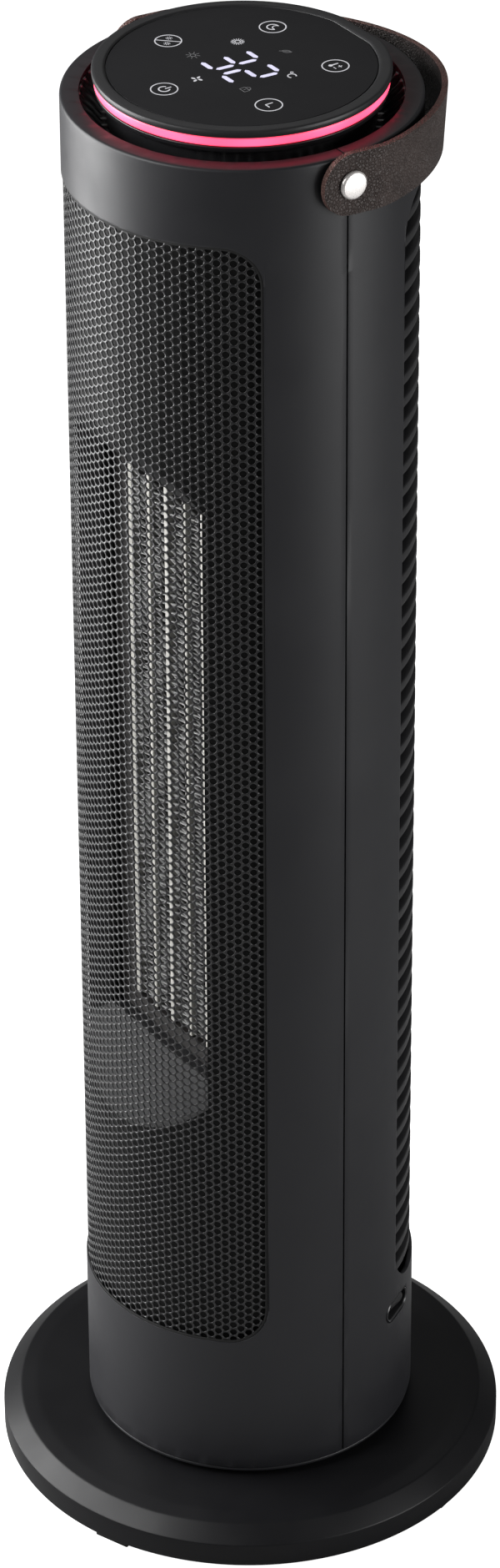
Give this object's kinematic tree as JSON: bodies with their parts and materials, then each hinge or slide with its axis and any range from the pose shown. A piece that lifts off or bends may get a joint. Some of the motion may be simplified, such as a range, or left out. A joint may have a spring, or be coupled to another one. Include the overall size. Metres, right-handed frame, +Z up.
{
  "type": "ceramic tower space heater",
  "caption": "Tall round tower fan heater with a perforated front outlet, louvred rear intake, touch panel on top, carrying strap and a flat round base that it turns on.",
  "frame": {"origin": "on the floor, on the tower's vertical axis, which is also the centre of the round base", "axes": "+Z up along the tower, -Y towards the front air outlet, +X to the right of the object seen from behind its front face"},
  "size_m": [0.252, 0.252, 0.764],
  "materials": {
    "housing_plastic": "fine satin texture, near black",
    "base_plastic": "satin, near black",
    "grille_sheet": "semi-matte black powder coat on perforated sheet",
    "intake_plastic": "satin black moulded louvres",
    "inner_plastic": "matte black heat-resistant plastic",
    "rubber": "matte black rubber",
    "steel": "plain zinc-plated steel",
    "aluminium": "bare folded fins",
    "element_bar": "pale bars that hold the ceramic stones",
    "gear_plastic": "natural acetal",
    "circuit_board": "green solder mask",
    "light_ring": "diffusing ring lit pink red",
    "panel_glass": "smooth black touch panel",
    "leather": "dark brown grain with paler cut edges",
    "rivet_chrome": "satin chrome"
  },
  "bodies": {
    "base": {"base_cover": "base_plastic", "base_bottom": "base_plastic", "base_weight": "steel", "glide_ring": "gear_plastic", "swing_motor": "steel", "tip_switch": "inner_plastic", "cord_gland": "rubber", "foot_1": "rubber", "foot_2": "rubber", "foot_3": "rubber", "foot_4": "rubber", "base_screw_1": "steel", "base_screw_2": "steel", "base_screw_3": "steel", "base_screw_4": "steel"},
    "tower": {"fan_motor": "steel", "upper_bearing": "steel", "thermal_cutout": "steel", "swing_gear": "gear_plastic", "duct_bezel": "inner_plastic", "heater_frame": "inner_plastic", "scroll_wall": "inner_plastic", "vortex_wall": "inner_plastic", "motor_bracket": "inner_plastic", "bearing_bracket": "inner_plastic", "switch_body": "inner_plastic", "tower_bottom": "housing_plastic", "front_housing": "housing_plastic", "rear_housing": "housing_plastic", "top_deck": "housing_plastic", "panel_housing": "housing_plastic", "panel_rim": "housing_plastic", "front_grille": "grille_sheet", "rear_intake_grille": "intake_plastic", "ptc_bar_1": "element_bar", "ptc_bar_2": "element_bar", "ptc_bar_3": "element_bar", "ptc_bar_4": "element_bar", "ptc_bar_5": "element_bar", "fin_pack_1": "aluminium", "fin_pack_2": "aluminium", "fin_pack_3": "aluminium", "fin_pack_4": "aluminium", "main_pcb": "circuit_board", "display_pcb": "circuit_board", "led_ring": "light_ring", "touch_glass": "panel_glass", "rivet_left": "rivet_chrome", "rivet_right": "rivet_chrome"},
    "swing_pinion": {"swing_pinion": "gear_plastic"},
    "tip_plunger": {"tip_plunger": "gear_plastic"},
    "impeller": {"impeller": "inner_plastic", "impeller_shaft": "steel"},
    "power_rocker": {"power_rocker": "housing_plastic"},
    "handle": {"handle_strap": "leather"}
  },
  "joints": [
    {"name": "oscillation", "type": "hinge", "parent": "base", "child": "tower", "pos_m": [0, 0, 0.026], "axis": [0, 0, 1], "range_deg": [-35, 35]},
    {"name": "pinion_spin", "type": "hinge", "parent": "base", "child": "swing_pinion", "pos_m": [0, 0.0403, 0.018], "axis": [0, 0, 1], "range_deg": [-106, 106]},
    {"name": "impeller_spin", "type": "hinge", "parent": "tower", "child": "impeller", "pos_m": [0, 0.018, 0.4], "axis": [0, 0, 1], "continuous": true},
    {"name": "handle_swing", "type": "hinge", "parent": "tower", "child": "handle", "pos_m": [0, 0, 0.7395], "axis": [1, 0, 0], "range_deg": [0, 90]},
    {"name": "power_rocker_tilt", "type": "hinge", "parent": "tower", "child": "power_rocker", "pos_m": [0.0662, 0.039, 0.096], "axis": [0, 0, 1], "range_deg": [0, 16]},
    {"name": "tip_plunger_slide", "type": "slide", "parent": "base", "child": "tip_plunger", "axis": [0, 0, 1], "range_m": [-0.004, 0], "stiffness_N_per_m": 60}
  ],
  "couplings": [
    {"joint": "pinion_spin", "follows": "oscillation", "ratio": -3}
  ]
}
